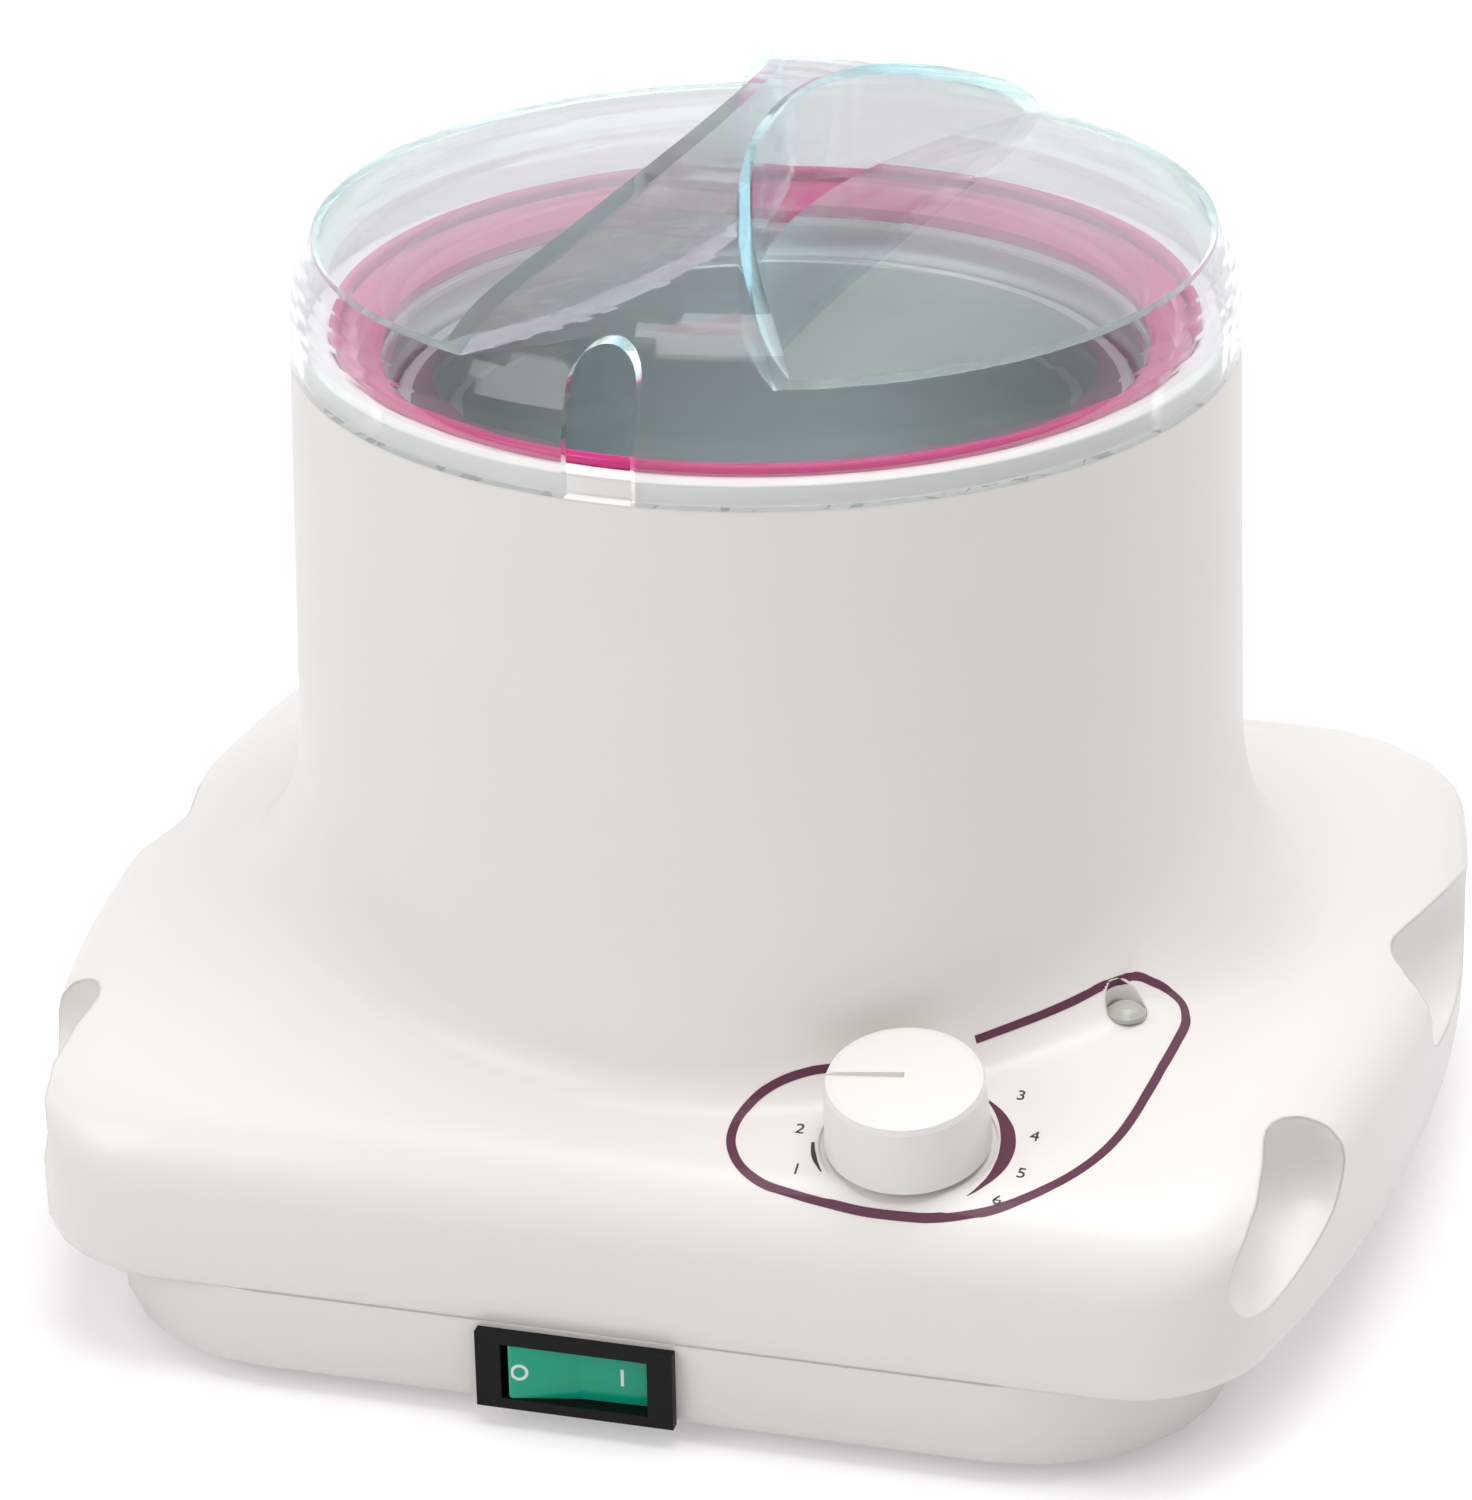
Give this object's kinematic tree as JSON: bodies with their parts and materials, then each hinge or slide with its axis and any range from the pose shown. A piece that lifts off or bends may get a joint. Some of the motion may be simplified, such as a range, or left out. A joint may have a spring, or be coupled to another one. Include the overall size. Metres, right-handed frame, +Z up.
{
  "type": "wax warmer",
  "caption": "Round heated tower on a wide base with side grip recesses, removable pot, clear lid with a handle ridge, thermostat knob and rocker switch.",
  "frame": {"origin": "centre of the bounding box at the bottom of the feet, on the table", "axes": "+Z up along the tower, +X to the right of the front with the switch, -Y towards the front"},
  "size_m": [0.229, 0.1876, 0.187],
  "materials": {
    "housing_plastic": "glossy warm white moulded plastic",
    "magenta_plastic": "glossy deep magenta moulded plastic",
    "silicone": "matt off-white silicone",
    "aluminium_sheet": "deep-drawn, satin",
    "aluminium_pot": "spun and polished",
    "heater_steel": "dull mica-steel band",
    "brass_screws": "turned brass",
    "insulation": "woven glass-fibre mat",
    "shield_sheet": "plain sheet",
    "ceramic": "matt steatite ceramic",
    "clear_plastic": "clear moulded acrylic with blue-green edges",
    "black_plastic": "fine-grained black plastic",
    "contact_metal": "tinned brass tabs",
    "plated_steel": "zinc-plated",
    "copper": "drawn copper",
    "knob_plastic": "glossy white plastic",
    "lens_plastic": "tinted translucent lens",
    "white_nylon": "natural nylon",
    "lamp_glass": "neon lamp glass",
    "green_plastic": "translucent green plastic",
    "wire_insulation": "silicone-insulated leads",
    "black_rubber": "soft matt rubber"
  },
  "bodies": {
    "housing": {"base_tray": "housing_plastic", "upper_housing": "housing_plastic", "collar_ring": "magenta_plastic", "well_gasket": "silicone", "heater_well": "aluminium_sheet", "heater_band": "heater_steel", "clamp_screw": "brass_screws", "clamp_nut": "brass_screws", "insulation_mat": "insulation", "heat_shield": "shield_sheet", "shield_posts": "ceramic", "well_spacers": "ceramic", "thermostat_body": "black_plastic", "thermostat_terminals": "contact_metal", "thermostat_nut": "plated_steel", "capillary_tube": "copper", "sensor_bulb": "copper", "bulb_clip": "plated_steel", "thermal_fuse": "ceramic", "fuse_clip": "plated_steel", "indicator_lens": "lens_plastic", "lamp_holder": "white_nylon", "neon_lamp": "lamp_glass", "switch_frame": "black_plastic", "switch_terminals": "contact_metal", "terminal_block": "white_nylon", "terminal_screws": "brass_screws", "cord_gland": "black_plastic", "internal_wires": "wire_insulation", "rubber_feet": "black_rubber", "housing_screws": "plated_steel"},
    "lid": {"lid": "clear_plastic"},
    "pot": {"wax_pot": "aluminium_pot"},
    "knob": {"control_knob": "knob_plastic", "thermostat_shaft": "plated_steel"},
    "rocker": {"rocker": "green_plastic"}
  },
  "joints": [
    {"name": "lid_lift", "type": "slide", "parent": "housing", "child": "lid", "axis": [0, 0, 1], "range_m": [0, 0.25]},
    {"name": "pot_lift", "type": "slide", "parent": "housing", "child": "pot", "axis": [0, 0, 1], "range_m": [0, 0.125]},
    {"name": "knob_turn", "type": "hinge", "parent": "housing", "child": "knob", "pos_m": [0.043, -0.07425, 0.04874], "axis": [0, -0.2079, 0.9781], "range_deg": [-235, 30]},
    {"name": "rocker_tilt", "type": "hinge", "parent": "housing", "child": "rocker", "pos_m": [-0.006, -0.08865, 0.0105], "axis": [0, 0, 1], "range_deg": [-14, 0]}
  ],
  "couplings": [
    {"joint": "pot_lift", "follows": "lid_lift", "ratio": 0.5}
  ]
}
